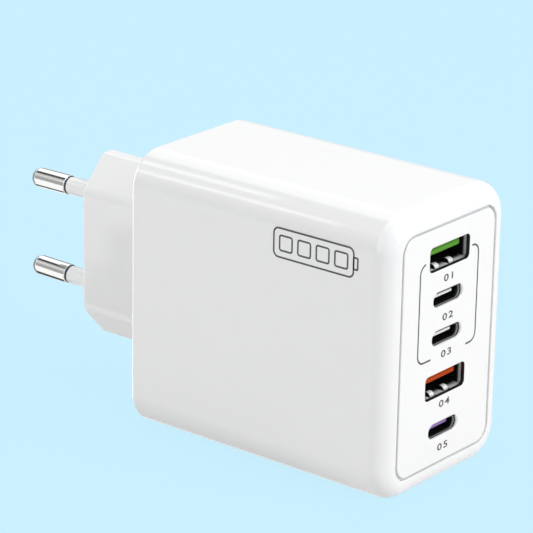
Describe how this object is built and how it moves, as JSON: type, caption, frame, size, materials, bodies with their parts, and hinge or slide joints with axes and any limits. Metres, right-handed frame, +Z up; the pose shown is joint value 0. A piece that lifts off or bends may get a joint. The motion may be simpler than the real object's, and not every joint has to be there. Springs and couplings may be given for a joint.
{
  "type": "usb wall charger",
  "caption": "Compact upright mains charger: a round-edged white box with a column of USB-A and USB-C ports on its narrow front and a two-pin European plug at its back",
  "frame": {"origin": "on the bottom plane, half way between the port face and the pin tips, midway across", "axes": "+Z up as it stands, -Y out of the ports, +Y along the plug pins, X across the ports"},
  "size_m": [0.0374, 0.104, 0.056],
  "materials": {
    "white_plastic": "polished",
    "plated_pin": "polished nickel",
    "shell_steel": "satin",
    "green_plastic": "moulded",
    "orange_plastic": "moulded",
    "natural_plastic": "moulded",
    "purple_plastic": "moulded",
    "contact_gold": "plated",
    "board_laminate": "satin",
    "film_sheet": "satin",
    "chip_black": "moulded",
    "capacitor_can": "sleeved",
    "ferrite": "sintered",
    "copper_winding": "enamelled",
    "winding_tape": "taped",
    "film_capacitor": "moulded",
    "fuse_body": "moulded",
    "disc_blue": "dipped",
    "sink_aluminium": "mill"
  },
  "bodies": {
    "root": {"board_link_pins": "contact_gold", "bridge_rectifier": "chip_black", "bulk_capacitor_1": "capacitor_can", "bulk_capacitor_2": "capacitor_can", "choke_core": "ferrite", "choke_winding": "copper_winding", "controller_chips": "chip_black", "disc_capacitor": "disc_blue", "front_panel": "white_plastic", "heat_sink": "sink_aluminium", "insulation_sheet": "film_sheet", "main_board": "board_laminate", "main_housing": "white_plastic", "mains_fuse": "fuse_body", "output_capacitor_1": "capacitor_can", "output_capacitor_2": "capacitor_can", "pin_lower": "plated_pin", "pin_sleeve_lower": "white_plastic", "pin_sleeve_upper": "white_plastic", "pin_strip_lower": "contact_gold", "pin_strip_upper": "contact_gold", "pin_upper": "plated_pin", "plug_cover": "white_plastic", "port_board": "board_laminate", "power_inductor_1": "ferrite", "power_inductor_2": "ferrite", "power_transistor": "chip_black", "transformer_bobbin": "chip_black", "transformer_core": "ferrite", "transformer_winding": "winding_tape", "usb_a_contacts_1": "contact_gold", "usb_a_contacts_2": "contact_gold", "usb_a_shell_1": "shell_steel", "usb_a_shell_2": "shell_steel", "usb_a_tongue_1": "green_plastic", "usb_a_tongue_2": "orange_plastic", "usb_c_contacts_1": "contact_gold", "usb_c_contacts_2": "contact_gold", "usb_c_contacts_3": "contact_gold", "usb_c_shell_1": "shell_steel", "usb_c_shell_2": "shell_steel", "usb_c_shell_3": "shell_steel", "usb_c_tongue_1": "natural_plastic", "usb_c_tongue_2": "natural_plastic", "usb_c_tongue_3": "purple_plastic", "x_capacitor": "film_capacitor"}
  },
  "joints": []
}
